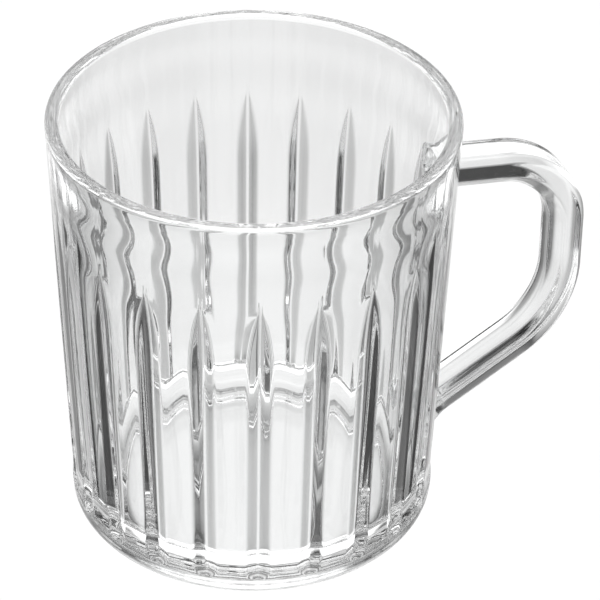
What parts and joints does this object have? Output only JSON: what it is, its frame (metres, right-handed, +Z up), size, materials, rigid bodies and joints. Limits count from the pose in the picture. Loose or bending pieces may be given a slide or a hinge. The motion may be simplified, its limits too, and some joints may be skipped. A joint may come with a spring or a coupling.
{
  "type": "ribbed glass mug",
  "caption": "Clear glass mug: a tapered cup with V-shaped upright flutes between flat panels, a smooth rounded rim and a recessed foot, and a loop handle of bevelled square section welded on.",
  "frame": {"origin": "on the cup's axis, in the plane that the foot ring stands on", "axes": "+Z up along the cup's axis, +X towards the handle, +Y across the handle"},
  "size_m": [0.1091, 0.08, 0.09],
  "materials": {
    "clear_glass": "fire-polished clear pressed glass, with the flutes pressed in",
    "handle_glass": "fire-polished clear glass, with bevelled edges"
  },
  "bodies": {
    "root": {"cup_body": "clear_glass", "handle": "handle_glass"}
  },
  "joints": []
}
